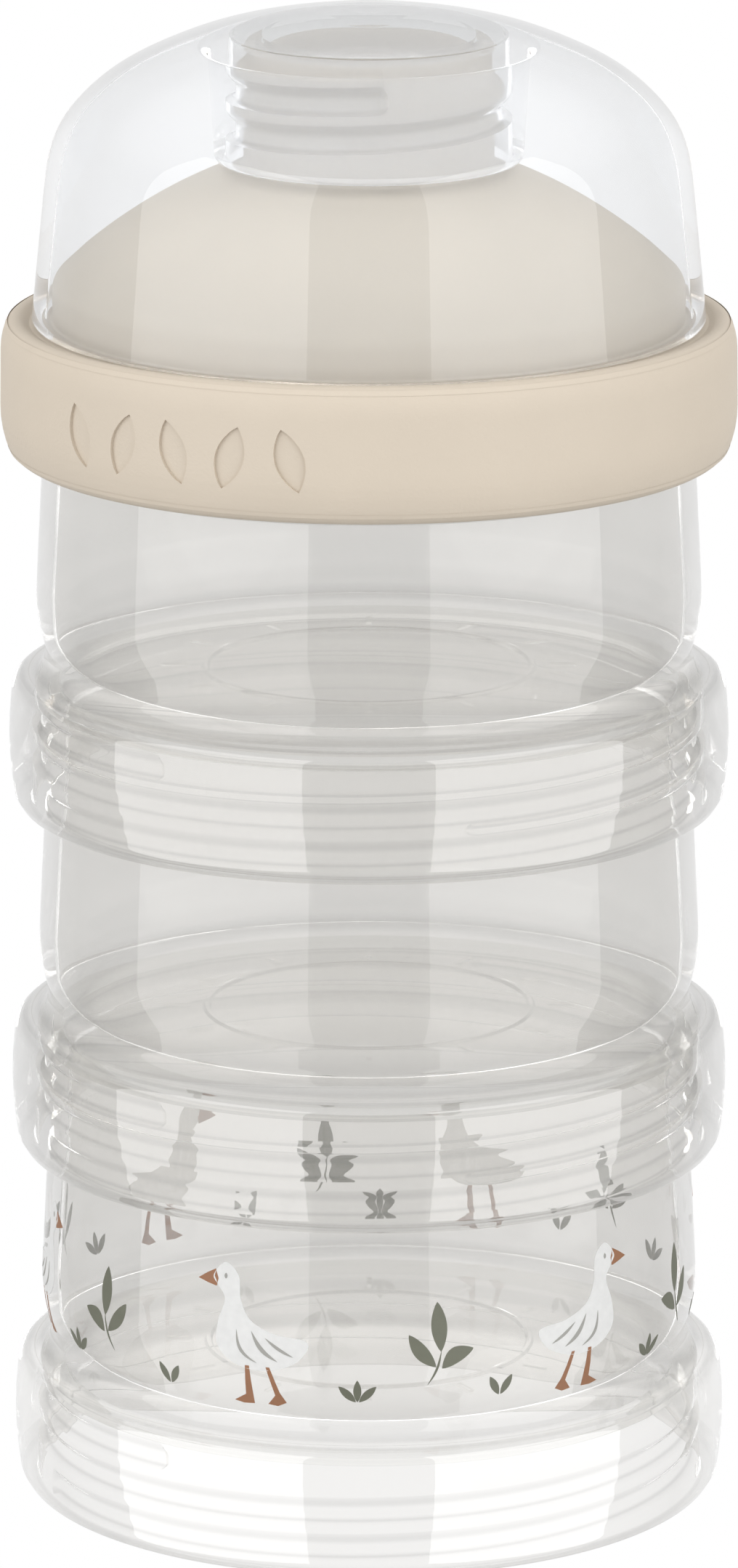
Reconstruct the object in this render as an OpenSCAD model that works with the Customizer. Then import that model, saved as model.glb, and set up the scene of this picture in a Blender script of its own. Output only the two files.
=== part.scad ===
// Stackable formula dispenser: three identical clear cups that screw into each other,
// an opaque pouring lid with a threaded spout, and a clear dome cap that screws onto the spout.
// Millimetres, +Z up. The origin is the centre of the bottom cup's rim, on the surface it stands on.

/* [Stack] */
// Height that each cup adds to the stack
cup_pitch = 41.4; // [40:0.1:46]
// Largest outer radius of a cup's threaded skirt
skirt_r = 42.6; // [42.2:0.1:44]
// Largest outer radius of a cup's wall, just above its rounded bottom
cup_r = 39.05; // [38.8:0.05:39.6]
// Thickness of a cup's wall
cup_wall = 2.55; // [2:0.05:3]
// Top of a cup's floor above its own rim
floor_top = 16.2; // [15.8:0.1:17]

/* [Screw threads of the cups and lid] */
// Rise of every screw thread in one turn
lead = 4.4; // [4.2:0.1:4.8]
// Inner radius of a skirt, around the thread
skirt_bore_r = 39.2; // [39:0.1:39.4]
// Outer radius of a cup's neck, under the thread
neck_r = 37.5; // [37.3:0.1:37.7]
// How far a thread's ridge stands out from its wall
ridge_height = 1.15; // [1.05:0.05:1.2]
// Turns of the thread inside a skirt
skirt_turns = 2.1; // [1.9:0.05:2.1]
// Turns of the thread on a neck
neck_turns = 1.4; // [1.2:0.05:1.4]

/* [Pouring lid] */
// Largest outer radius of the lid's ring
ring_r = 43; // [42.8:0.1:44]
// Outer radius of the funnel's upright wall
funnel_r = 36.3; // [36:0.1:36.4]
// Radius of the funnel's domed slope
funnel_dome_r = 50; // [48:1:56]
// Thickness of the funnel's wall
funnel_wall = 2; // [1.6:0.1:2.4]
// Radius of the spout's opening
spout_bore_r = 12.7; // [12.2:0.1:13]
// Outer radius of the spout, under its thread
spout_r = 14.5; // [14.4:0.1:14.6]
// Height of the spout's rim above the lid's lower edge
spout_rim = 47.7; // [47.5:0.1:47.8]

/* [Dome cap] */
// Outer radius of the dome at its open edge
dome_r = 39.3; // [39.2:0.1:39.6]
// Thickness of the dome's wall
dome_wall = 2.3; // [2:0.1:2.4]
// Inner radius of the threaded collar under the dome
collar_bore_r = 16.1; // [16:0.05:16.2]

/* [Seals] */
// Thickness of a cup's or the lid's flat sealing ring
seal_thickness = 1; // [0.8:0.1:1.2]
// Thickness of the spout's flat sealing ring
spout_seal_thickness = 0.9; // [0.8:0.1:1]

/* [Hidden] */

$fn = 128;
arc_step = 9;               // degrees between the points of a rounded corner
gap = 0.05;                 // left between faces that rest on each other

clear_plastic = [0.90, 0.92, 0.93, 0.45];
lid_plastic = [0.91, 0.86, 0.79];
silicone = [0.94, 0.94, 0.92, 0.8];

// Places along the stack
lid_z = 3 * cup_pitch;      // where the lid's skirt starts
floor_bottom = floor_top - 2.3;
neck_top = cup_pitch + floor_bottom - seal_thickness - gap;
neck_bore_r = neck_r - 2.1;
seal_inner_r = neck_bore_r + 0.3;
seal_outer_r = skirt_bore_r - 0.3;

// Places on the lid
ring_edge = 0.5;            // the ring's lower edge, above the start of the lid's skirt
ring_seat = 16;             // the flat that the dome's edge rests on
ring_seat_z = lid_z + ring_seat;
spout_rim_z = lid_z + ring_edge + spout_rim;
funnel_bore_r = funnel_r - funnel_wall;
funnel_centre_z = ring_seat_z - 29.6;

// Places on the dome cap
dome_z = ring_seat_z + gap;
dome_top_z = spout_rim_z + 4.2;
collar_z = spout_rim_z - 13.4;
collar_ceiling_z = spout_rim_z + spout_seal_thickness + 2 * gap;

// Thread ridges: heights of the lower root, lower crest, upper crest and upper root above the
// thread's line. A skirt's and the collar's ridge is steep below and slopes gently above.
skirt_ridge = [-1.15, -0.9, 0.9, 2.65];
neck_ridge = [-0.85, -0.5, 0.5, 0.85];
mesh_offset = 2.5;          // a neck's thread line above that of the skirt it screws into
root_depth = 0.6;           // how far a ridge reaches into the wall that carries it
ridge_steps = 40;           // sections in one turn
ridge_taper = 6;            // degrees over which a ridge's end narrows
skirt_ridge_top = [233, 10.94];
skirt_ridge_start = [skirt_ridge_top[0] - 360 * skirt_turns, skirt_ridge_top[1] - lead * skirt_turns];
skirt_ridge_front = [287, skirt_ridge_top[1] - lead * (skirt_ridge_top[0] + 720 - 287) / 360];
neck_ridge_start = skirt_ridge_front + [0, cup_pitch + mesh_offset];
spout_ridge_top = [278, spout_rim_z - 1.9];
spout_turns = 1.75;
collar_turns = 1.7;

function unit(v) = v / norm(v);

// Points of the arc that rounds one corner of an outline
function corner(before, at, after, radius) =
    radius == 0 ? [at] :
    let (
        in = unit(before - at),
        out = unit(after - at),
        half = acos(in * out) / 2,
        centre = at + unit(in + out) * radius / sin(half),
        first = at + in * radius / tan(half) - centre,
        last = at + out * radius / tan(half) - centre,
        start = atan2(first.y, first.x),
        sweep = (atan2(last.y, last.x) - start + 540) % 360 - 180,
        steps = max(2, ceil(abs(sweep) / arc_step))
    )
    [for (i = [0:steps]) centre + radius * [cos(start + sweep * i / steps), sin(start + sweep * i / steps)]];

// Closed outline of [radius, height, corner radius] points, with its corners rounded
function rounded(points) =
    let (n = len(points), xy = [for (p = points) [p[0], p[1]]])
    [for (i = [0:n - 1]) each corner(xy[(i + n - 1) % n], xy[i], xy[(i + 1) % n], points[i][2])];

// Outline points along a domed slope, from one radius to another
function dome_points(radius, centre_z, from, to, steps = 8) =
    [for (i = [0:steps]) let (r = from + (to - from) * i / steps) [r, centre_z + sqrt(radius ^ 2 - r ^ 2), 0]];

function shifted(points, z) = [for (p = points) [p[0], p[1] + z, p[2]]];

module turned(points) {
    rotate_extrude()
        polygon(rounded(points));
}

// Helical ridge on a wall of radius wall_r. side is 1 on the outside of a wall and -1 inside a bore.
// The ridge starts at start = [angle, height] and rises with the lead; its ends narrow to a point.
module ridge(wall_r, side, start, turns, profile) {
    sections = ceil(turns * ridge_steps);
    root_r = wall_r - side * root_depth;
    crest_r = wall_r + side * ridge_height;
    points = [for (i = [0:sections])
        let (
            turned_by = 360 * turns * i / sections,
            angle = start[0] + turned_by,
            z = start[1] + lead * turned_by / 360,
            from_end = min(turned_by, 360 * turns - turned_by) / ridge_taper,
            grow = from_end >= 1 ? 1 : 0.35 + 0.65 * sqrt(1 - (1 - from_end) ^ 2),
            direction = [cos(angle), sin(angle)]
        )
        for (corner = [[0, profile[0]], [0, profile[3]], [grow, profile[2]], [grow, profile[1]]])
            let (r = root_r + (crest_r - root_r) * corner[0])
            [r * direction.x, r * direction.y, z + corner[1] * grow]
    ];
    sides = [for (i = [0:sections - 1]) for (k = [0:3])
        let (a = 4 * i + k, b = 4 * i + (k + 1) % 4)
        each [[a, b, b + 4], [a, b + 4, a + 4]]];
    ends = [[2, 1, 0], [3, 2, 0], each [for (t = [[0, 1, 2], [0, 2, 3]]) [for (k = t) 4 * sections + k]]];
    faces = concat(sides, ends);
    polyhedron(points, side > 0 ? [for (face = faces) [face[2], face[1], face[0]]] : faces, convexity = 10);
}

// One cup: a threaded skirt, a floor, a rounded wall and a threaded neck, in the cup's own frame
module cup() {
    turned([
        [0, floor_bottom, 0],
        [skirt_bore_r, floor_bottom, 0],
        [skirt_bore_r, 0, 0.6],
        [40.8, 0, 1.2],
        [skirt_r - 0.85, 1.5, 1.5],
        [skirt_r, 8.4, 40],
        [skirt_r - 0.8, 15, 1.7],
        [40.3, 15.75, 1.5],
        [cup_r - 1.8, 15.7, 2.2],
        [cup_r, 23.7, 16.5],
        [cup_r - 0.3, 30.2, 40],
        [cup_r - 0.9, cup_pitch + 0.1, 0.3],
        [neck_r, cup_pitch + 0.1, 0.3],
        [neck_r, neck_top, 0.5],
        [neck_bore_r, neck_top, 0.5],
        [neck_bore_r, cup_pitch + 2, 20],
        [cup_r - cup_wall, 24, 20],
        [cup_r - cup_wall - 0.5, floor_top, 5],
        [0, floor_top, 0]
    ]);
    ridge(skirt_bore_r, -1, skirt_ridge_start, skirt_turns, skirt_ridge);
    ridge(neck_r, 1, neck_ridge_start, neck_turns, neck_ridge);
}

// Flat silicone ring under the floor of a cup, in the cup's own frame
module flat_seal() {
    turned([
        [seal_inner_r, floor_bottom - seal_thickness, 0.2],
        [seal_outer_r, floor_bottom - seal_thickness, 0.2],
        [seal_outer_r, floor_bottom - gap / 2, 0.2],
        [seal_inner_r, floor_bottom - gap / 2, 0.2]
    ]);
}

module bottom_cup() {
    color(clear_plastic)
        cup();
}

module bottom_cup_seal() {
    color(silicone)
        flat_seal();
}

module middle_cup() {
    color(clear_plastic)
        translate([0, 0, cup_pitch])
            cup();
}

module middle_cup_seal() {
    color(silicone)
        translate([0, 0, cup_pitch])
            flat_seal();
}

module top_cup() {
    color(clear_plastic)
        translate([0, 0, 2 * cup_pitch])
            cup();
}

module top_cup_seal() {
    color(silicone)
        translate([0, 0, 2 * cup_pitch])
            flat_seal();
}

// The lid: a ring with the same thread as a skirt, a domed funnel and a threaded spout
module pouring_lid() {
    color(lid_plastic) {
        turned([
            [skirt_bore_r, lid_z + floor_bottom, 0],
            [skirt_bore_r, lid_z + ring_edge, 0.5],
            [ring_r - 1.4, lid_z + ring_edge, 2.4],
            [ring_r, lid_z + 3.8, 12],
            [ring_r - 0.15, lid_z + 14.7, 7.4],
            [ring_r - 1.35, lid_z + 17.1, 1.6],
            [dome_r + 0.25, ring_seat_z, 0.5],
            [funnel_r, ring_seat_z, 0.3],
            [funnel_r, funnel_centre_z + sqrt(funnel_dome_r ^ 2 - funnel_r ^ 2), 3],
            each dome_points(funnel_dome_r, funnel_centre_z, funnel_r - 3.3, spout_r + 2.4),
            [spout_r, funnel_centre_z + sqrt(funnel_dome_r ^ 2 - spout_r ^ 2), 1.2],
            [spout_r, spout_rim_z, 0.6],
            [spout_bore_r, spout_rim_z, 0.6],
            [spout_bore_r, funnel_centre_z + funnel_dome_r - funnel_wall - 1.7, 2],
            each dome_points(funnel_dome_r - funnel_wall, funnel_centre_z, spout_bore_r + 2.4, funnel_bore_r - 3.3),
            [funnel_bore_r, funnel_centre_z + sqrt((funnel_dome_r - funnel_wall) ^ 2 - funnel_bore_r ^ 2), 3],
            [funnel_bore_r, lid_z + floor_bottom, 0.4]
        ]);
        translate([0, 0, lid_z])
            ridge(skirt_bore_r, -1, skirt_ridge_start, skirt_turns, skirt_ridge);
        ridge(
            spout_r, 1,
            [spout_ridge_top[0] - 360 * spout_turns, spout_ridge_top[1] - lead * spout_turns],
            spout_turns, neck_ridge
        );
    }
}

module lid_seal() {
    color(silicone)
        translate([0, 0, lid_z])
            flat_seal();
}

// The dome cap: a clear shell with a threaded collar that screws onto the spout
module dome_cap() {
    inner_r = dome_r - dome_wall;
    color(clear_plastic) {
        turned([
            [inner_r, dome_z, 0.4],
            [dome_r, dome_z, 0.6],
            [dome_r - 1.1, dome_z + 10.6, 40],
            [dome_r - 2.2, dome_z + 21.4, 12],
            [dome_r - 7.3, dome_top_z - 7.8, 22],
            [dome_r - 19, dome_top_z - 2.6, 38],
            [9.5, dome_top_z, 58],
            [0, dome_top_z, 0],
            [0, collar_ceiling_z, 0],
            [collar_bore_r, collar_ceiling_z, 0.2],
            [collar_bore_r, collar_z, 0.4],
            [collar_bore_r + 1.6, collar_z, 0.6],
            [collar_bore_r + 2.5, dome_top_z - 4.35, 1],
            [dome_r - 8.7, dome_top_z - 9.7, 19],
            [dome_r - 4.35, dome_z + 20.6, 10],
            [dome_r - 3.35, dome_z + 10.6, 38]
        ]);
        ridge(
            collar_bore_r, -1,
            [spout_ridge_top[0] - 360 * collar_turns, spout_ridge_top[1] - mesh_offset - lead * collar_turns],
            collar_turns, skirt_ridge
        );
    }
}

module spout_seal() {
    bottom_z = spout_rim_z + gap;
    color(silicone)
        turned([
            [spout_bore_r - 0.5, bottom_z, 0.2],
            [collar_bore_r - 0.3, bottom_z, 0.2],
            [collar_bore_r - 0.3, bottom_z + spout_seal_thickness, 0.2],
            [spout_bore_r - 0.5, bottom_z + spout_seal_thickness, 0.2]
        ]);
}

bottom_cup();
bottom_cup_seal();
middle_cup();
middle_cup_seal();
top_cup();
top_cup_seal();
pouring_lid();
lid_seal();
dome_cap();
spout_seal();
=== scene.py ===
"""Looks of the stackable formula dispenser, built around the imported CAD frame."""

import math

import bmesh
import bpy
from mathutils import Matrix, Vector


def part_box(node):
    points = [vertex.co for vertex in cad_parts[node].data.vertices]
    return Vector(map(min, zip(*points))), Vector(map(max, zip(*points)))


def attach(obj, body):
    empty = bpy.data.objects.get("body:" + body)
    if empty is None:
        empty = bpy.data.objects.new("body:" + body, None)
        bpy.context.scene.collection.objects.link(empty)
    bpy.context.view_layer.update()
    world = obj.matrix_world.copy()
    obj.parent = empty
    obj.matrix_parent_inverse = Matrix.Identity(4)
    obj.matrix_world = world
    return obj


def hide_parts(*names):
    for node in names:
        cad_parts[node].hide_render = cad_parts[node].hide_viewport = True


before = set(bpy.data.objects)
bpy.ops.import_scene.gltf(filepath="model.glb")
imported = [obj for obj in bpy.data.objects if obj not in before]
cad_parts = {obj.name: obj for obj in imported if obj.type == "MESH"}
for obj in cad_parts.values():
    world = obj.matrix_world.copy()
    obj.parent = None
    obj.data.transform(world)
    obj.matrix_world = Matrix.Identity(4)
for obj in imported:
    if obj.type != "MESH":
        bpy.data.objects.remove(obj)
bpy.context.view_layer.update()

MM = 0.001                      # the sizes below are in millimetres, as in the CAD source

# Sizes read from the frame
CUP_PITCH = (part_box("middle_cup")[0].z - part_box("bottom_cup")[0].z) / MM
LID_Z = 3 * CUP_PITCH
NECK_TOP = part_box("bottom_cup")[1].z / MM
SEAL_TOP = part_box("bottom_cup_seal")[1].z / MM
SPOUT_RIM_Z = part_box("pouring_lid")[1].z / MM
DOME_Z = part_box("dome_cap")[0].z / MM
DOME_TOP_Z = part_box("dome_cap")[1].z / MM
RING_SEAT_Z = DOME_Z - 0.05
FLOOR_BOTTOM = SEAL_TOP + 0.025

# The cups
SKIRT_R = 42.6
SKIRT_BORE_R = 39.2
SKIRT_TOP = 15.4
CUP_R = 39.05
CUP_WALL = 2.55
FLOOR_TOP = FLOOR_BOTTOM + 2.3
NECK_R = 37.5
NECK_BORE_R = NECK_R - 2.1
TICK_R = 19                     # raised ring on a cup's floor, with short ticks outside it
TICKS = 12
TICK_SPAN = (2, 5)              # from the raised ring outwards
TICK_HALF_WIDTH = 0.3
EMBOSS = 0.3                    # height of the raised ring and ticks

# The lid and the cap
RING_R = 43
FUNNEL_R = 36.3
FUNNEL_DOME_R = 50
FUNNEL_CENTRE_Z = RING_SEAT_Z - 29.6
FUNNEL_WALL = 2
SPOUT_R = 14.5
SPOUT_BORE_R = 12.7
DOME_R = 39.3
COLLAR_BORE_R = 16.1
COLLAR_Z = SPOUT_RIM_Z - 13.4
COLLAR_CEILING_Z = SPOUT_RIM_Z + 1

# Sealing rings
SEAL_CLEARANCE = 0.3            # between a ring and the walls beside it
SPOUT_SEAL_R = SPOUT_BORE_R - 0.5

# Screw threads
LEAD = 4.4
RIDGE_HEIGHT = 1.15
ROOT_DEPTH = 0.6
MESH_OFFSET = 2.5               # a neck's thread line above that of the skirt it screws into
SKIRT_RIDGE_TOP = (233, 10.94)  # where a ridge ends or starts: degrees and height
NECK_RIDGE_FOOT = (287, CUP_PITCH + 2.8 + MESH_OFFSET)
SPOUT_RIDGE_TOP = (278, SPOUT_RIM_Z - 1.9)
SKIRT_TURNS = 2.1
NECK_TURNS = 1.4
SPOUT_TURNS = 1.75
COLLAR_TURNS = 1.7

# Ridge sections, out from the wall and up from the thread's line
SKIRT_RIDGE = (
    (-ROOT_DEPTH, -1.12), (0, -1.12), (0.4, -1.06), (0.8, -0.97), (RIDGE_HEIGHT - 0.12, -0.84),
    (RIDGE_HEIGHT - 0.03, -0.68), (RIDGE_HEIGHT, -0.45), (RIDGE_HEIGHT, 0.45), (RIDGE_HEIGHT - 0.04, 0.72),
    (RIDGE_HEIGHT - 0.15, 0.95), (0.75, 1.22), (0.45, 1.52), (0.2, 1.82), (0.05, 2.1), (-0.05, 2.35),
    (-ROOT_DEPTH, 2.35),
)
NECK_RIDGE = (
    (-ROOT_DEPTH, -0.75), (0, -0.75), (0.6, -0.62), (RIDGE_HEIGHT - 0.15, -0.5), (RIDGE_HEIGHT, -0.35),
    (RIDGE_HEIGHT, 0.35), (RIDGE_HEIGHT - 0.15, 0.5), (0.6, 0.62), (0, 0.75), (-ROOT_DEPTH, 0.75),
)

# The camera: metres, degrees from looking straight down, and millimetres
CAMERA_PLACE = (0, -1.0465, 0.34774)
CAMERA_TILT = 75.88
CAMERA_LENS = 210.26

# Two upright softboxes: radiance, edges as (degrees from the camera's side, metres away), and heights
SOFTBOX = 1.65
SOFTBOX_NEAR_EDGE = (20.5, 1.3)
SOFTBOX_FAR_EDGE = (86, 1.0)
SOFTBOX_HEIGHTS = (-0.9, 1.3)

# The room as the object sees it: radiance, and the parts of a direction between which it changes
ROOM_FRONT = 0.25
ROOM_HORIZON = 0.85
FRONT_TO_HORIZON = (0.5, 0.85)  # of Y
ROOM_BACK = 0.76                # share of the horizon's light left above it
HORIZON_TO_BACK = (0.05, 0.22)  # of Z
ROOM_TOP = 1.0
BACK_TO_TOP = (0.25, 0.75)      # of Z

# The floor as seen through the clear pieces, a painted glow with painted shade in a band around the object:
# radiance, and the metres between which it changes
FLOOR_HALF = 6000               # half of the floor's side, in millimetres
FLOOR_NEAR = 0.97
FLOOR_MIDDLE = 0.72
NEAR_TO_MIDDLE = (0.055, 0.058)
FLOOR_BEYOND = 0.65
FLOOR_FAR = 1.0
BEYOND_TO_FAR = (0.46, 0.7)

# Print on the bottom cup: a goose, a sprig and two tufts, repeated around it
PRINT_REPEATS = 6
PRINT_START = -20               # degrees from the front to the first goose
PRINT_FOOT = 19.5               # height of the geese's feet
GOOSE = 17                      # how tall each is
SPRIG = 10
TUFT = 2.8
INK_THICKNESS = 0.03
INK_LIFT = 0.005                # between the wall and the ink; grey lies on top of white

# Leaves engraved in the lid's ring: degrees from the front
RING_LEAVES = [-50 + 9.5 * k for k in range(5)]
RING_LEAF = 7.2                 # how tall one is
RING_LEAF_WIDTH = 3.2
RING_LEAF_LEAN = 0.26           # how far its tip is to the side, as a share of its height
RING_LEAF_FOOT = 4.5            # above the ring's lower edge
ENGRAVED_DEPTH = 0.35
RING_HOLLOW = 0.1               # how far inside RING_R the ring's wall lies at most where it is engraved

# Fineness of the meshes
COLUMNS = 216                   # faces around a turned shape
LID_COLUMNS = 360               # the lid's, so that its engraving is cut into a finer surface
ARC_STEP = math.radians(7)
SUPPORT = 0.35                  # from a corner to the supporting point beside it
LONG_STRETCH = 1.2              # straight stretches longer than this get supporting points
STRETCH_CELL = 5


# ---------------------------------------------------------------- outlines

def rounded_corner(before, at, after, radius):
    """Points of the arc that rounds one corner of an outline."""
    if radius == 0:
        return [at]
    incoming = (before - at).normalized()
    outgoing = (after - at).normalized()
    half = incoming.angle(outgoing) / 2
    centre = at + (incoming + outgoing).normalized() * radius / math.sin(half)
    first = at + incoming * radius / math.tan(half) - centre
    last = at + outgoing * radius / math.tan(half) - centre
    start = math.atan2(first.y, first.x)
    sweep = (math.atan2(last.y, last.x) - start + 3 * math.pi) % (2 * math.pi) - math.pi
    steps = max(4, math.ceil(abs(sweep) / ARC_STEP))
    return [
        centre + radius * Vector((math.cos(start + sweep * i / steps), math.sin(start + sweep * i / steps)))
        for i in range(steps + 1)
    ]


def rounded(points):
    """Closed outline of (radius, height, corner radius) points with its corners rounded, and a supporting
    point near both ends of each straight stretch, so that smooth shading stays on the corners."""
    corners = [Vector(p[:2]) for p in points]
    count = len(points)
    outline = []
    for i, point in enumerate(points):
        outline += rounded_corner(corners[i - 1], corners[i], corners[(i + 1) % count], point[2])
    supported = []
    for i, here in enumerate(outline):
        following = outline[(i + 1) % len(outline)]
        supported.append(here)
        length = (following - here).length
        if length > LONG_STRETCH:
            support = SUPPORT / length
            pieces = max(1, round(length / STRETCH_CELL))
            shares = [support] + [k / pieces for k in range(1, pieces)] + [1 - support]
            supported += [here.lerp(following, share) for share in shares]
    return supported


def dome_points(radius, centre_z, start_r, end_r, steps=28):
    """Outline points along a domed slope, from one radius to another."""
    radii = [start_r + (end_r - start_r) * i / steps for i in range(steps + 1)]
    return [(r, centre_z + math.sqrt(radius ** 2 - r ** 2), 0) for r in radii]


def relaxed(outline, start, end, rounds=36, spacing=0.5):
    """The outline with its stretch from near one point to near another made even in curvature."""
    def nearest(place):
        return min(range(len(outline)), key=lambda i: (outline[i] - Vector(place)).length)

    first = nearest(start)
    last = nearest(end)
    dense = []
    for here, following in zip(outline[first:last], outline[first + 1:last + 1]):
        pieces = max(1, round((following - here).length / spacing))
        dense += [here.lerp(following, k / pieces) for k in range(pieces)]
    dense.append(outline[last])
    for _ in range(rounds):
        evened = [(a + 2 * b + c) / 4 for a, b, c in zip(dense, dense[1:], dense[2:])]
        dense = [dense[0]] + evened + [dense[-1]]
    return outline[:first] + dense + outline[last + 1:]


def cup_outline():
    """Section of a cup: under the floor, skirt, bulging wall, neck, inside and floor."""
    return [
        (0, FLOOR_BOTTOM, 0),
        (SKIRT_BORE_R, FLOOR_BOTTOM, 0),
        (SKIRT_BORE_R, 0, 0.6),
        (40.8, 0, 1.2),
        (SKIRT_R - 0.85, 1.5, 1.5),
        (SKIRT_R, 8.4, 40),
        (SKIRT_R - 0.8, 15, 1.7),
        (40.3, 15.75, 1.5),
        (CUP_R - 1.8, 15.7, 2.2),
        (CUP_R, 23.7, 16.5),
        (CUP_R - 0.3, 30.2, 40),
        (CUP_R - 0.9, CUP_PITCH + 0.1, 0.3),
        (NECK_R, CUP_PITCH + 0.1, 0.3),
        (NECK_R, NECK_TOP, 0.5),
        (NECK_BORE_R, NECK_TOP, 0.5),
        (NECK_BORE_R, CUP_PITCH + 2, 20),
        (CUP_R - CUP_WALL, 24, 20),
        (CUP_R - CUP_WALL - 0.5, FLOOR_TOP, 5),
        (TICK_R + 0.5, FLOOR_TOP, 0),
        (TICK_R + 0.25, FLOOR_TOP + EMBOSS, 0.15),
        (TICK_R - 0.25, FLOOR_TOP + EMBOSS, 0.15),
        (TICK_R - 0.5, FLOOR_TOP, 0),
        (0, FLOOR_TOP, 0),
    ]


def lid_outline():
    """Section of the lid: ring, seat of the dome cap, funnel, spout and inside."""
    funnel_bore_r = FUNNEL_R - FUNNEL_WALL
    inner_dome_r = FUNNEL_DOME_R - FUNNEL_WALL
    return [
        (SKIRT_BORE_R, LID_Z + FLOOR_BOTTOM, 0),
        (SKIRT_BORE_R, LID_Z + 0.5, 0.5),
        (RING_R - 1.4, LID_Z + 0.5, 2.4),
        (RING_R, LID_Z + 3.8, 12),
        (RING_R - 0.15, LID_Z + 14.7, 7.4),
        (RING_R - 1.35, LID_Z + 17.1, 1.6),
        (DOME_R + 0.25, RING_SEAT_Z, 0.5),
        (FUNNEL_R, RING_SEAT_Z, 0.3),
        (FUNNEL_R, FUNNEL_CENTRE_Z + math.sqrt(FUNNEL_DOME_R ** 2 - FUNNEL_R ** 2), 3),
        *dome_points(FUNNEL_DOME_R, FUNNEL_CENTRE_Z, FUNNEL_R - 3.3, SPOUT_R + 2.4),
        (SPOUT_R, FUNNEL_CENTRE_Z + math.sqrt(FUNNEL_DOME_R ** 2 - SPOUT_R ** 2), 1.2),
        (SPOUT_R, SPOUT_RIM_Z, 0.6),
        (SPOUT_BORE_R, SPOUT_RIM_Z, 0.6),
        (SPOUT_BORE_R, FUNNEL_CENTRE_Z + inner_dome_r - 1.7, 2),
        *dome_points(inner_dome_r, FUNNEL_CENTRE_Z, SPOUT_BORE_R + 2.4, funnel_bore_r - 3.3),
        (funnel_bore_r, FUNNEL_CENTRE_Z + math.sqrt(inner_dome_r ** 2 - funnel_bore_r ** 2), 3),
        (funnel_bore_r, LID_Z + FLOOR_BOTTOM, 0.4),
    ]


def dome_outline():
    """Section of the dome cap: outside, top plate, collar and inside."""
    return [
        (DOME_R - 2.3, DOME_Z, 0.4),
        (DOME_R, DOME_Z, 0.6),
        (DOME_R - 1.1, DOME_Z + 10.6, 40),
        (DOME_R - 2.2, DOME_Z + 21.4, 12),
        (DOME_R - 7.3, DOME_TOP_Z - 7.8, 22),
        (DOME_R - 19, DOME_TOP_Z - 2.6, 38),
        (9.5, DOME_TOP_Z, 58),
        (0, DOME_TOP_Z, 0),
        (0, COLLAR_CEILING_Z, 0),
        (COLLAR_BORE_R, COLLAR_CEILING_Z, 0.2),
        (COLLAR_BORE_R, COLLAR_Z, 0.4),
        (COLLAR_BORE_R + 1.6, COLLAR_Z, 0.6),
        (COLLAR_BORE_R + 2.5, DOME_TOP_Z - 4.35, 1),
        (DOME_R - 8.7, DOME_TOP_Z - 9.7, 19),
        (DOME_R - 4.35, DOME_Z + 20.6, 10),
        (DOME_R - 3.35, DOME_Z + 10.6, 38),
    ]


# ---------------------------------------------------------------- meshes

def new_object(name, mesh):
    piece = bpy.data.objects.new(name, mesh)
    bpy.context.scene.collection.objects.link(piece)
    return piece


def mesh_from(name, points, faces):
    """Mesh object from points in millimetres."""
    mesh = bpy.data.meshes.new(name)
    mesh.from_pydata([[c * MM for c in p] for p in points], [], faces)
    return new_object(name, mesh)


def turned(name, outline, columns=COLUMNS):
    """Solid of revolution of a closed outline; a point on the axis becomes one vertex."""
    points = []
    rings = []
    for radius, z in outline:
        if radius < 1e-6:
            rings.append([len(points)] * columns)
            points.append((0, 0, z))
        else:
            rings.append(list(range(len(points), len(points) + columns)))
            for c in range(columns):
                angle = 2 * math.pi * c / columns
                points.append((radius * math.cos(angle), radius * math.sin(angle), z))
    faces = []
    for i, ring in enumerate(rings):
        following = rings[(i + 1) % len(rings)]
        if ring[0] == ring[1] and following[0] == following[1]:
            continue
        for c in range(columns):
            d = (c + 1) % columns
            corners = [ring[c], ring[d], following[d], following[c]]
            faces.append(list(dict.fromkeys(corners)))
    piece = mesh_from(name, points, faces)
    recalculate_normals(piece)
    return piece


def recalculate_normals(piece):
    shape = bmesh.new()
    shape.from_mesh(piece.data)
    bmesh.ops.recalc_face_normals(shape, faces=shape.faces)
    shape.to_mesh(piece.data)
    shape.free()


def ridge(name, wall_r, side, top, turns, section, per_turn=120):
    """Helical ridge on a wall: side is 1 outside a wall and -1 inside a bore, and top is where the thread
    ends, as (degrees, height). Both ends are rounded like the end of a pill."""
    end = math.degrees(1.1 / wall_r)
    whole = 360 * turns
    ends = [end * share for share in (0.02, 0.08, 0.18, 0.32, 0.5, 0.75)]
    steps = math.ceil(per_turn * turns)
    middle = [end + (whole - 2 * end) * i / steps for i in range(steps + 1)]
    places = ends + middle + [whole - e for e in reversed(ends)]
    points = []
    for turned_by in places:
        share = min(1, turned_by / end, (whole - turned_by) / end)
        grow = math.sqrt(1 - (1 - share) ** 2)
        angle = math.radians(top[0] - whole + turned_by)
        z = top[1] + LEAD * (turned_by - whole) / 360
        for out, up in section:
            r = wall_r + side * (out * grow if out > 0 else out)
            points.append((r * math.cos(angle), r * math.sin(angle), z + up * grow))
    n = len(section)
    faces = [
        (n * i + k, n * i + (k + 1) % n, n * (i + 1) + (k + 1) % n, n * (i + 1) + k)
        for i in range(len(places) - 1) for k in range(n)
    ]
    faces.append(list(range(n))[::-1])
    faces.append([n * (len(places) - 1) + k for k in range(n)])
    piece = mesh_from(name, points, faces)
    recalculate_normals(piece)
    return piece


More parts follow.
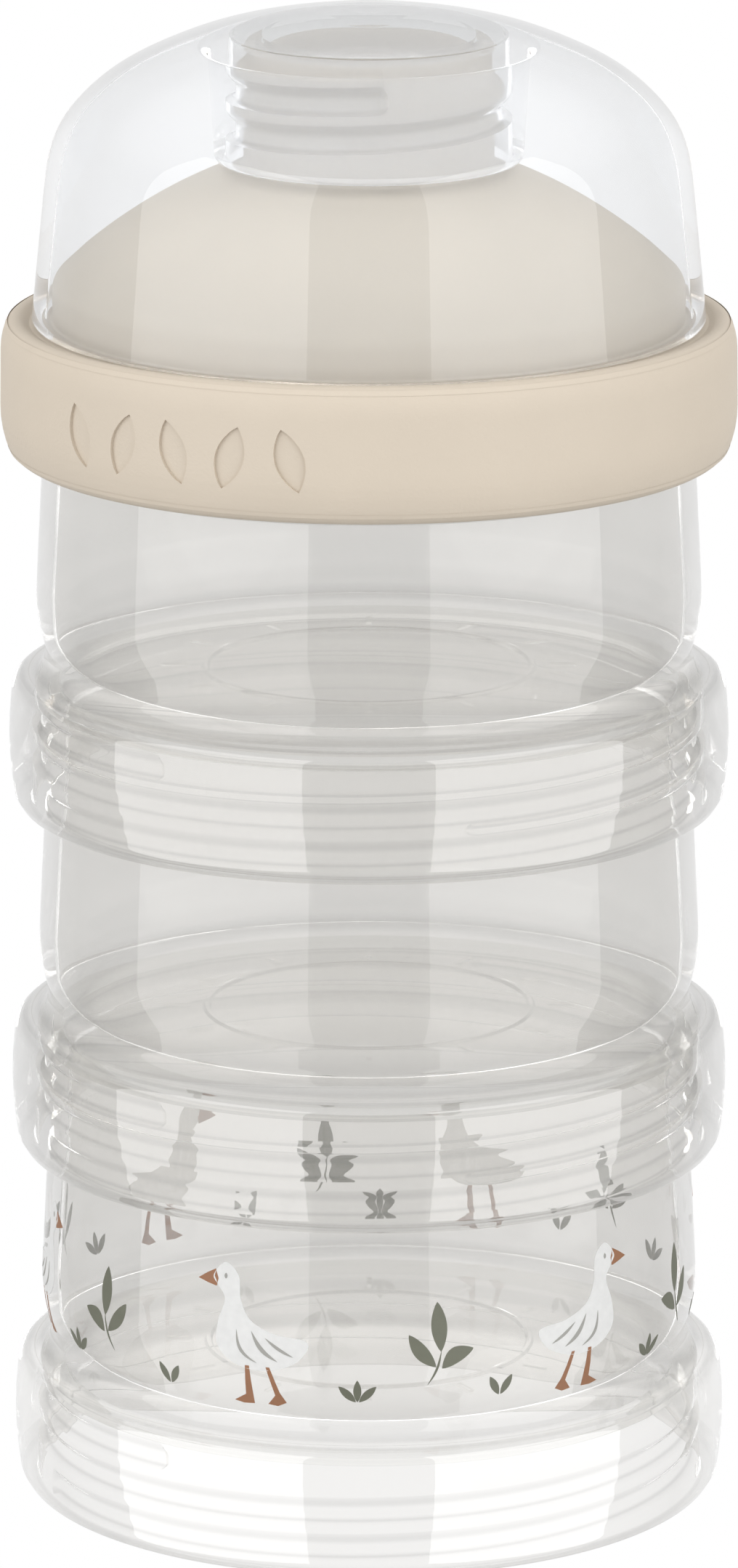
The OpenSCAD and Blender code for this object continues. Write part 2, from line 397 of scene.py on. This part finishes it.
def joined(piece, tools, operation="UNION"):
    """The piece with other closed shapes added to it or cut from it, as one clean mesh."""
    for tool in tools:
        change = piece.modifiers.new(tool.name, "BOOLEAN")
        change.object = tool
        change.operation = operation
        change.solver = "MANIFOLD"
    shape = bpy.data.meshes.new_from_object(piece.evaluated_get(bpy.context.evaluated_depsgraph_get()))
    piece.modifiers.clear()
    piece.data = shape
    for tool in tools:
        bpy.data.objects.remove(tool)
    return piece


def smooth(piece, sharp_angle=38):
    """Shades a piece smooth, apart from edges sharper than sharp_angle."""
    piece.data.shade_smooth()
    piece.data.set_sharp_from_angle(angle=math.radians(sharp_angle))
    return piece


def settle(piece, body, nodes, materials):
    """Gives a finished piece its materials and its place in the frame."""
    piece.data.materials.clear()
    for material in materials:
        piece.data.materials.append(material)
    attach(piece, body)
    if nodes:
        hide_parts(*nodes)


def finish_faces(piece, finish_at):
    """Gives every face the material whose number finish_at says for its radius, height and outward lean."""
    for face in piece.data.polygons:
        x, y, z = face.center
        radius = math.hypot(x, y)
        outward = (face.normal.x * x + face.normal.y * y) / radius
        face.material_index = finish_at(radius / MM, z / MM, outward)


# ---------------------------------------------------------------- materials

def new_material(name):
    material = bpy.data.materials.new(name)
    material.use_nodes = True
    nodes = material.node_tree.nodes
    return material, nodes, material.node_tree.links, nodes["Principled BSDF"]


def noise(nodes, links, scale, detail=2):
    """Noise texture fixed to the piece, with scale in cells for each metre."""
    where = nodes.new("ShaderNodeTexCoord")
    texture = nodes.new("ShaderNodeTexNoise")
    texture.inputs["Scale"].default_value = scale
    texture.inputs["Detail"].default_value = detail
    links.new(where.outputs["Object"], texture.inputs["Vector"])
    return texture


def ranged(nodes, links, value, low, high, low_from=0, high_from=1):
    """Value spread from low to high, as it goes from low_from to high_from."""
    spread = nodes.new("ShaderNodeMapRange")
    spread.inputs["From Min"].default_value = low_from
    spread.inputs["From Max"].default_value = high_from
    spread.inputs["To Min"].default_value = low
    spread.inputs["To Max"].default_value = high
    links.new(value, spread.inputs["Value"])
    return spread.outputs["Result"]


def combined(nodes, links, operation, first, second):
    result = nodes.new("ShaderNodeMath")
    result.operation = operation
    links.new(first, result.inputs[0])
    links.new(second, result.inputs[1])
    return result.outputs["Value"]


def bump(nodes, links, height, strength, distance):
    bumped = nodes.new("ShaderNodeBump")
    bumped.inputs["Strength"].default_value = strength
    bumped.inputs["Distance"].default_value = distance
    links.new(height, bumped.inputs["Height"])
    return bumped.outputs["Normal"]


def clear_plastic(name, tint, haze, ior, gloss, painted_flank_shade=1.0, coat_ior=1.5):
    """Polished clear moulding with a slight haze, a little uneven where the plastic flowed. It hardly bends
    what is seen through it, and a coat gives its gloss. Leaning surfaces, such as rounded corners and the
    flanks of ridges, have their tint multiplied by the flank shade factor: painted shade, standing in for
    the light that thick plastic sends elsewhere there."""
    material, nodes, links, shader = new_material(name)
    where = nodes.new("ShaderNodeTexCoord")
    parts = nodes.new("ShaderNodeSeparateXYZ")
    links.new(where.outputs["Normal"], parts.inputs["Vector"])
    upright = nodes.new("ShaderNodeMath")
    upright.operation = "ABSOLUTE"
    links.new(parts.outputs["Z"], upright.inputs[0])
    # painted shade: the tint is darkened where the face's normal leans, but not on flat faces
    leaning = ranged(nodes, links, upright.outputs["Value"], 0, 1, 0.1, 0.75)
    not_flat = ranged(nodes, links, upright.outputs["Value"], 1, 0, 0.9, 0.99)
    shade = nodes.new("ShaderNodeMixRGB")
    shade.inputs["Color1"].default_value = (*tint, 1)
    shade.inputs["Color2"].default_value = (*[c * painted_flank_shade for c in tint], 1)
    links.new(combined(nodes, links, "MULTIPLY", leaning, not_flat), shade.inputs["Fac"])
    links.new(shade.outputs["Color"], shader.inputs["Base Color"])
    shader.inputs["IOR"].default_value = ior
    shader.inputs["Coat Weight"].default_value = gloss
    shader.inputs["Coat IOR"].default_value = coat_ior
    shader.inputs["Coat Roughness"].default_value = 0.02
    flow = noise(nodes, links, 60)
    links.new(ranged(nodes, links, flow.outputs["Fac"], 0.0, 0.03), shader.inputs["Roughness"])
    clarity = ranged(nodes, links, flow.outputs["Fac"], 1 - 1.15 * haze, 1 - 0.85 * haze)
    links.new(clarity, shader.inputs["Transmission Weight"])
    return material


def moulded_plastic(name, colour, roughness, grain, grain_height, specular=0.5):
    """Opaque moulded plastic with a fine spark-eroded grain and a little unevenness of colour."""
    material, nodes, links, shader = new_material(name)
    fine = noise(nodes, links, grain, 3)
    broad = noise(nodes, links, 90, 2)
    shade = nodes.new("ShaderNodeMixRGB")
    shade.inputs["Color1"].default_value = (*[c * 0.965 for c in colour], 1)
    shade.inputs["Color2"].default_value = (*[min(1, c * 1.03) for c in colour], 1)
    links.new(broad.outputs["Fac"], shade.inputs["Fac"])
    links.new(shade.outputs["Color"], shader.inputs["Base Color"])
    uneven = ranged(nodes, links, fine.outputs["Fac"], roughness - 0.06, roughness + 0.06)
    links.new(uneven, shader.inputs["Roughness"])
    links.new(bump(nodes, links, fine.outputs["Fac"], 0.35, grain_height), shader.inputs["Normal"])
    shader.inputs["IOR"].default_value = 1.5
    shader.inputs["Specular IOR Level"].default_value = specular
    return material


def ink(name, colour):
    """Opaque printing ink, a little uneven in strength."""
    material, nodes, links, shader = new_material(name)
    cover = noise(nodes, links, 900, 3)
    shade = nodes.new("ShaderNodeMixRGB")
    shade.inputs["Color1"].default_value = (*[c * 0.9 for c in colour], 1)
    shade.inputs["Color2"].default_value = (*[min(1, c * 1.08) for c in colour], 1)
    links.new(cover.outputs["Fac"], shade.inputs["Fac"])
    links.new(shade.outputs["Color"], shader.inputs["Base Color"])
    links.new(ranged(nodes, links, cover.outputs["Fac"], 0.4, 0.55), shader.inputs["Roughness"])
    return material


def silicone(name):
    """Clear, slightly cloudy silicone."""
    material, nodes, links, shader = new_material(name)
    cloud = noise(nodes, links, 400)
    shader.inputs["Base Color"].default_value = (0.97, 0.97, 0.96, 1)
    shader.inputs["IOR"].default_value = 1.02
    shader.inputs["Transmission Weight"].default_value = 1
    links.new(ranged(nodes, links, cloud.outputs["Fac"], 0.03, 0.12), shader.inputs["Roughness"])
    links.new(bump(nodes, links, cloud.outputs["Fac"], 0.1, 0.0002), shader.inputs["Normal"])
    return material


CUP_TINT = (0.965, 0.958, 0.944)
DOME_TINT = (0.98, 0.987, 0.998)
# the flank factors below give leaning faces of the cups and the collar painted shade
CUP_FINISHES = [
    clear_plastic("clear_cup", CUP_TINT, haze=0.07, ior=1.02, gloss=0.82, painted_flank_shade=0.76),
    clear_plastic("clear_skirt", CUP_TINT, haze=0.09, ior=1.01, gloss=1.0, painted_flank_shade=0.86, coat_ior=1.75),
    clear_plastic("clear_thread", CUP_TINT, haze=0.05, ior=1.01, gloss=0.12, painted_flank_shade=0.72),
    clear_plastic("clear_cup_inside", CUP_TINT, haze=0.07, ior=1.01, gloss=0.28, painted_flank_shade=0.8),
]
DOME_FINISHES = [
    clear_plastic("clear_dome", DOME_TINT, haze=0.09, ior=1.02, gloss=0.9),
    clear_plastic("clear_collar", DOME_TINT, haze=0.3, ior=1.03, gloss=0.4, painted_flank_shade=0.85),
    clear_plastic("clear_dome_inside", DOME_TINT, haze=0.07, ior=1.005, gloss=0.12),
]
LID_FINISHES = [
    moulded_plastic("beige_ring", (0.61, 0.533, 0.437), roughness=0.62, grain=2600, grain_height=12e-5),
    moulded_plastic(
        "beige_funnel", (0.595, 0.537, 0.45), roughness=0.55, grain=1500, grain_height=5e-6, specular=0.15,
    ),
]
SILICONE = silicone("silicone")
INKS = {
    "white": ink("white_ink", (0.74, 0.74, 0.73)),
    "grey": ink("grey_ink", (0.34, 0.335, 0.31)),
    "orange": ink("orange_ink", (0.30, 0.14, 0.07)),
    "green": ink("green_ink", (0.15, 0.155, 0.115)),
}


# ---------------------------------------------------------------- pieces

def tick(degrees):
    """Short raised bar on a cup's floor, along a radius."""
    angle = math.radians(degrees)
    along = Vector((math.cos(angle), math.sin(angle), 0))
    across = Vector((-along.y, along.x, 0))
    foot = Vector((0, 0, FLOOR_TOP))
    start, end = TICK_SPAN
    points = [
        foot + along * (TICK_R + out) + across * side * TICK_HALF_WIDTH + Vector((0, 0, up))
        for up in (-EMBOSS, EMBOSS) for out, side in ((start, -1), (end, -1), (end, 1), (start, 1))
    ]
    faces = [(3, 2, 1, 0), (4, 5, 6, 7), (0, 1, 5, 4), (1, 2, 6, 5), (2, 3, 7, 6), (3, 0, 4, 7)]
    bar = mesh_from("tick", points, faces)
    recalculate_normals(bar)
    return bar


def make_cup_mesh():
    neck_top = (NECK_RIDGE_FOOT[0] + 360 * NECK_TURNS, NECK_RIDGE_FOOT[1] + LEAD * NECK_TURNS)
    cup = turned("cup", rounded(cup_outline()))
    ridges = [
        ridge("skirt_ridge", SKIRT_BORE_R, -1, SKIRT_RIDGE_TOP, SKIRT_TURNS, SKIRT_RIDGE),
        ridge("neck_ridge", NECK_R, 1, neck_top, NECK_TURNS, NECK_RIDGE),
    ]
    return smooth(joined(cup, ridges + [tick(360 * k / TICKS) for k in range(TICKS)]))


def cup_finish(radius, z):
    """Which of CUP_FINISHES lies at a place on the bottom cup."""
    in_bore = radius < SKIRT_BORE_R + 0.05 and z < FLOOR_BOTTOM - 0.05
    on_neck = z > CUP_PITCH + 0.3
    if in_bore or on_neck:
        return 2
    if radius < CUP_R - CUP_WALL + 0.4 and z > FLOOR_TOP + 1:
        return 3
    return int(radius > SKIRT_BORE_R and z < SKIRT_TOP)


def make_cups():
    """Three cups of one mould, a pitch apart."""
    first = make_cup_mesh()
    for level, name in enumerate(("bottom_cup", "middle_cup", "top_cup")):
        cup = new_object(name + "_clear", first.data.copy())
        for vertex in cup.data.vertices:
            vertex.co.z += level * CUP_PITCH * MM
        settle(cup, name, [name], CUP_FINISHES)
        finish_faces(cup, lambda radius, z, outward: cup_finish(radius, z - level * CUP_PITCH))
    bpy.data.objects.remove(first)


def flat_ring(name, inner_r, outer_r, low, high):
    return smooth(turned(name, rounded([
        (inner_r, low, 0.2), (outer_r, low, 0.2), (outer_r, high, 0.2), (inner_r, high, 0.2),
    ])))


def make_seals():
    """The sealing rings. The bottom cup's stays with it; each of the others is a body of its own."""
    on_necks = (NECK_BORE_R + SEAL_CLEARANCE, SKIRT_BORE_R - SEAL_CLEARANCE)
    on_spout = (SPOUT_SEAL_R, COLLAR_BORE_R - SEAL_CLEARANCE)
    for node, body, (inner, outer) in (
        ("bottom_cup_seal", "bottom_cup", on_necks),
        ("middle_cup_seal", "middle_cup_seal", on_necks),
        ("top_cup_seal", "top_cup_seal", on_necks),
        ("lid_seal", "lid_seal", on_necks),
        ("spout_seal", "spout_seal", on_spout),
    ):
        low, high = (corner.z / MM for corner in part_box(node))
        settle(flat_ring(node + "_ring", inner, outer, low, high), body, [node], [SILICONE])


def ring_engraving():
    """Cutter for a row of leaves in the lid's ring, which lean to alternate sides."""
    low = LID_Z + RING_LEAF_FOOT
    leaves = []
    for k, azimuth in enumerate(RING_LEAVES):
        lean = (RING_LEAF_LEAN if k % 2 else -RING_LEAF_LEAN) * RING_LEAF
        around = math.radians(azimuth) * CUP_R
        foot = (around - lean / 2, low)
        tip = (around + lean / 2, low + RING_LEAF)
        leaves.append(leaf(foot, tip, RING_LEAF_WIDTH))
    return wrapped("ring_leaves", leaves, lambda z: RING_R, -ENGRAVED_DEPTH - RING_HOLLOW, 1)


def lid_finish(radius, z, outward):
    """Which of LID_FINISHES lies at a place."""
    return 0 if radius > FUNNEL_R + 0.5 and z < LID_Z + 18 else 1


def make_lid():
    lid = turned("pouring_lid_moulding", rounded(lid_outline()), LID_COLUMNS)
    skirt_top = (SKIRT_RIDGE_TOP[0], LID_Z + SKIRT_RIDGE_TOP[1])
    lid = joined(lid, [
        ridge("skirt_ridge", SKIRT_BORE_R, -1, skirt_top, SKIRT_TURNS, SKIRT_RIDGE),
        ridge("spout_ridge", SPOUT_R, 1, SPOUT_RIDGE_TOP, SPOUT_TURNS, NECK_RIDGE),
    ])
    lid = smooth(joined(lid, [ring_engraving()], "DIFFERENCE"))
    settle(lid, "pouring_lid", ["pouring_lid"], LID_FINISHES)
    finish_faces(lid, lid_finish)


def dome_finish(radius, z, outward):
    """Which of DOME_FINISHES lies at a place."""
    if radius < COLLAR_BORE_R + 1.7 and z < COLLAR_CEILING_Z - 0.1:
        return 1
    return 2 if outward < -0.15 else 0


def make_dome():
    outline = relaxed(rounded(dome_outline()), (DOME_R, DOME_Z + 2), (9, DOME_TOP_Z))
    outline = relaxed(outline, (COLLAR_BORE_R + 4, DOME_TOP_Z - 4.6), (DOME_R - 2.6, DOME_Z + 2))
    top = (SPOUT_RIDGE_TOP[0], SPOUT_RIDGE_TOP[1] - MESH_OFFSET)
    collar_ridge = ridge("collar_ridge", COLLAR_BORE_R, -1, top, COLLAR_TURNS, SKIRT_RIDGE)
    dome = smooth(joined(turned("dome_cap_clear", outline), [collar_ridge]))
    settle(dome, "dome_cap", ["dome_cap"], DOME_FINISHES)
    finish_faces(dome, dome_finish)


def closed_curve(points, steps=8):
    """Smooth closed curve through points on the unrolled wall."""
    n = len(points)
    curve = []
    for i in range(n):
        a, b, c, d = (Vector(points[(i + k - 1) % n]) for k in range(4))
        for k in range(steps):
            t = k / steps
            curve.append(0.5 * (2 * b + (c - a) * t + (2 * a - 5 * b + 4 * c - d) * t ** 2
                                + (3 * b - a - 3 * c + d) * t ** 3))
    return curve


def leaf(foot, tip, width, bend=0.0, steps=14):
    """Leaf outline from foot to tip; bend moves its middle sideways."""
    foot, tip = Vector(foot), Vector(tip)
    along = tip - foot
    across = Vector((-along.y, along.x)).normalized()
    shares = [k / steps for k in range(steps + 1)]
    spine = [foot + along * t + across * bend * math.sin(math.pi * t) for t in shares]
    halves = [width / 2 * math.sin(math.pi * t) ** 0.8 for t in shares]
    right = [p - across * h for p, h in zip(spine, halves)]
    left = [p + across * h for p, h in zip(spine, halves)]
    return right + left[-2:0:-1]


def placed(outline, azimuth, height, size=1.0, mirror=1):
    """Outline moved to its place on the unrolled wall: millimetres around from the front, and height."""
    around = math.radians(azimuth) * CUP_R
    return [(around + mirror * size * x, height + size * y) for x, y in outline]


def wrapped(name, outlines, radius_at, low, high, cell=1.5):
    """Thin closed shapes, one for each outline on the unrolled wall, from low to high above a turned wall.
    They are cut into cells of that size, so that they follow the wall's curve."""
    shape = bmesh.new()
    for outline in outlines:
        shape.faces.new([shape.verts.new((x, 0, z)) for x, z in outline])
    for axis, across in ((0, Vector((1, 0, 0))), (2, Vector((0, 0, 1)))):
        places = [v.co[axis] for v in shape.verts]
        for k in range(math.ceil(min(places) / cell), math.ceil(max(places) / cell)):
            everything = shape.verts[:] + shape.edges[:] + shape.faces[:]
            bmesh.ops.bisect_plane(shape, geom=everything, plane_co=across * k * cell, plane_no=across)
    bmesh.ops.triangulate(shape, faces=shape.faces)
    lower = shape.verts[:]
    upper = bmesh.ops.extrude_face_region(shape, geom=shape.faces[:])["geom"]
    upper = {v for v in upper if isinstance(v, bmesh.types.BMVert)}
    for vertex in lower + list(upper):
        radius = radius_at(vertex.co.z)
        angle = vertex.co.x / CUP_R - math.pi / 2
        radius += high if vertex in upper else low
        vertex.co = Vector((radius * math.cos(angle), radius * math.sin(angle), vertex.co.z)) * MM
    bmesh.ops.recalc_face_normals(shape, faces=shape.faces)
    mesh = bpy.data.meshes.new(name)
    shape.to_mesh(mesh)
    shape.free()
    return new_object(name, mesh)


def goose_parts():
    """A plain goose one unit tall that looks left: outlines of its body, wing lines, eye, beak and legs."""
    body = closed_curve([
        (-0.31, 0.89), (-0.22, 0.99), (-0.12, 0.91), (-0.10, 0.74), (-0.02, 0.60), (0.16, 0.52),
        (0.38, 0.48), (0.31, 0.34), (0.10, 0.26), (-0.12, 0.28), (-0.27, 0.40), (-0.27, 0.57),
        (-0.22, 0.73), (-0.27, 0.82),
    ])
    lines = [
        leaf((-0.13, 0.53), (0.02, 0.31), 0.022, -0.05),
        leaf((-0.02, 0.53), (0.17, 0.33), 0.03, -0.03),
        leaf((0.08, 0.49), (0.28, 0.37), 0.022, -0.01),
    ]
    eye = leaf((-0.215, 0.875), (-0.215, 0.915), 0.022)
    beak = [
        (-0.295, 0.935), (-0.36, 0.90), (-0.43, 0.855), (-0.35, 0.83), (-0.285, 0.815), (-0.272, 0.87),
    ]
    left_leg = [
        (-0.065, 0.285), (-0.07, 0.07), (-0.16, 0.015), (-0.09, 0.0), (-0.01, 0.005), (-0.035, 0.285),
    ]
    right_leg = [
        (0.085, 0.285), (0.145, 0.08), (0.09, 0.01), (0.16, 0.0), (0.225, 0.03), (0.18, 0.10),
        (0.112, 0.285),
    ]
    return {"white": [body], "grey": lines + [eye], "orange": [beak, left_leg, right_leg]}


def sprig_outlines():
    """Three leaves on a stem, one unit tall."""
    return [
        leaf((0.16, 0.40), (0.12, 1.0), 0.19),
        leaf((0.10, 0.22), (-0.22, 0.62), 0.17, 0.02),
        leaf((0.17, 0.20), (0.55, 0.42), 0.19, 0.05),
        leaf((0, 0), (0.165, 0.42), 0.028, -0.03),
    ]


def tuft_outlines(leaves):
    """Two or three small leaves that grow from one place, one unit tall."""
    spread = 52 if leaves == 3 else 30
    tilts = [math.radians(spread * (2 * k / (leaves - 1) - 1)) for k in range(leaves)]
    return [leaf((0.08 * math.sin(a), 0), (math.sin(a), max(0.72, math.cos(a))), 0.34) for a in tilts]


def frieze():
    """Outlines of the whole print by ink: a goose, a sprig and two tufts, repeated around the cup."""
    inks = {"white": [], "grey": [], "orange": [], "green": []}
    step = 360 / PRINT_REPEATS
    for k in range(PRINT_REPEATS):
        azimuth = PRINT_START + step * k
        facing = -1 if k % 2 else 1
        for colour, outlines in goose_parts().items():
            inks[colour] += [placed(o, azimuth, PRINT_FOOT, GOOSE, facing) for o in outlines]
        plants = (
            (sprig_outlines(), 0.5, 3, SPRIG, facing),
            (tuft_outlines(3), 0.3, 1, TUFT, 1),
            (tuft_outlines(2), 0.72, 1, TUFT, 1),
        )
        for outlines, share, lift, size, mirror in plants:
            place = azimuth + share * step
            inks["green"] += [placed(o, place, PRINT_FOOT + lift, size, mirror) for o in outlines]
    return inks


def make_print():
    """Printed decoration of the bottom cup, as thin films on its wall."""
    wall = rounded(cup_outline())

    def radius_at(z):
        return max(
            a.x + (b.x - a.x) * (z - a.y) / (b.y - a.y)
            for a, b in zip(wall, wall[1:]) if min(a.y, b.y) <= z <= max(a.y, b.y) and a.y != b.y
        )

    for colour, outlines in frieze().items():
        low = INK_THICKNESS if colour == "grey" else INK_LIFT
        film = wrapped("print_" + colour, outlines, radius_at, low, low + INK_THICKNESS)
        settle(film, "bottom_cup", [], [INKS[colour]])


# ---------------------------------------------------------------- stage

def add_camera():
    camera = bpy.data.cameras.new("camera")
    camera.sensor_fit = "VERTICAL"
    camera.sensor_height = 36
    camera.lens = CAMERA_LENS
    camera.clip_end = 20
    view = bpy.data.objects.new("camera", camera)
    view.location = CAMERA_PLACE
    view.rotation_euler = (math.radians(CAMERA_TILT), 0, 0)
    bpy.context.scene.collection.objects.link(view)
    bpy.context.scene.camera = view


def white_emission(nodes):
    light = nodes.new("ShaderNodeEmission")
    light.inputs["Color"].default_value = (1, 1, 1, 1)
    light.inputs["Strength"].default_value = 1
    return light


def add_world():
    """White for the camera; for everything else a room that is darker at the camera's end."""
    world = bpy.data.worlds.new("studio")
    bpy.context.scene.world = world
    world.use_nodes = True
    nodes, links = world.node_tree.nodes, world.node_tree.links
    ray = nodes.new("ShaderNodeLightPath")
    where = nodes.new("ShaderNodeTexCoord")
    parts = nodes.new("ShaderNodeSeparateXYZ")
    links.new(where.outputs["Generated"], parts.inputs["Vector"])
    behind = ranged(nodes, links, parts.outputs["Y"], ROOM_FRONT, ROOM_HORIZON, *FRONT_TO_HORIZON)
    fading = ranged(nodes, links, parts.outputs["Z"], 1, ROOM_BACK, *HORIZON_TO_BACK)
    above = ranged(nodes, links, parts.outputs["Z"], 0, ROOM_TOP, *BACK_TO_TOP)
    back = combined(nodes, links, "MULTIPLY", behind, fading)
    brightest = combined(nodes, links, "MAXIMUM", back, above)
    room = nodes["Background"]
    room.inputs["Color"].default_value = (1, 1, 1, 1)
    links.new(brightest, room.inputs["Strength"])
    seen = nodes.new("ShaderNodeBackground")
    seen.inputs["Color"].default_value = (1, 1, 1, 1)
    choice = nodes.new("ShaderNodeMixShader")
    links.new(ray.outputs["Is Camera Ray"], choice.inputs["Fac"])
    links.new(room.outputs["Background"], choice.inputs[1])
    links.new(seen.outputs["Background"], choice.inputs[2])
    links.new(choice.outputs["Shader"], nodes["World Output"].inputs["Surface"])


def add_floor():
    """White for the camera; seen through the clear pieces, a painted glow, bright near the object and far
    from it, with painted shade between.
    """
    corners = [(-1, -1), (1, -1), (1, 1), (-1, 1)]
    floor = mesh_from("floor", [(x * FLOOR_HALF, y * FLOOR_HALF, 0) for x, y in corners], [(0, 1, 2, 3)])
    floor.location.z = -0.0002
    material = bpy.data.materials.new("pale_floor")
    material.use_nodes = True
    nodes, links = material.node_tree.nodes, material.node_tree.links
    nodes.clear()
    ray = nodes.new("ShaderNodeLightPath")
    where = nodes.new("ShaderNodeNewGeometry")
    distance = nodes.new("ShaderNodeVectorMath")
    distance.operation = "LENGTH"
    links.new(where.outputs["Position"], distance.inputs[0])
    # painted glow of the floor: bright near the object and far away, and darker between them as painted
    # shade
    near = ranged(nodes, links, distance.outputs["Value"], FLOOR_NEAR, FLOOR_MIDDLE, *NEAR_TO_MIDDLE)
    far = ranged(nodes, links, distance.outputs["Value"], FLOOR_BEYOND, FLOOR_FAR, *BEYOND_TO_FAR)
    through = white_emission(nodes)
    links.new(combined(nodes, links, "MAXIMUM", near, far), through.inputs["Strength"])
    seen = white_emission(nodes)
    choice = nodes.new("ShaderNodeMixShader")
    output = nodes.new("ShaderNodeOutputMaterial")
    links.new(ray.outputs["Is Camera Ray"], choice.inputs["Fac"])
    links.new(through.outputs["Emission"], choice.inputs[1])
    links.new(seen.outputs["Emission"], choice.inputs[2])
    links.new(choice.outputs["Shader"], output.inputs["Surface"])
    floor.data.materials.append(material)
    floor.visible_glossy = False


def add_softbox(name, side):
    """Upright softbox on one side of the camera: -1 is left, 1 is right."""
    def edge(degrees, distance):
        angle = math.radians(degrees)
        return Vector((side * distance * math.sin(angle), -distance * math.cos(angle), 0))

    low, high = SOFTBOX_HEIGHTS
    first = edge(*SOFTBOX_NEAR_EDGE)
    last = edge(*SOFTBOX_FAR_EDGE)
    centre = (first + last) / 2
    centre.z = (low + high) / 2
    light = bpy.data.lights.new(name, "AREA")
    light.shape = "RECTANGLE"
    light.size = (last - first).length
    light.size_y = high - low
    light.energy = SOFTBOX * math.pi * light.size * light.size_y
    box = bpy.data.objects.new(name, light)
    box.location = centre
    across = (last - first).normalized()
    facing = Vector((-across.y, across.x, 0))
    if facing.dot(centre) > 0:
        facing.negate()
    box.rotation_euler = facing.to_track_quat("-Z", "Y").to_euler()
    bpy.context.scene.collection.objects.link(box)


def add_stage():
    add_camera()
    add_world()
    add_floor()
    add_softbox("softbox_left", -1)
    add_softbox("softbox_right", 1)
    scene = bpy.context.scene
    scene.view_settings.view_transform = "Standard"
    scene.cycles.max_bounces = 32
    scene.cycles.transmission_bounces = 32
    scene.cycles.glossy_bounces = 16
    scene.cycles.sample_clamp_indirect = 8


add_stage()
make_cups()
make_seals()
make_lid()
make_dome()
make_print()

bpy.context.view_layer.update()
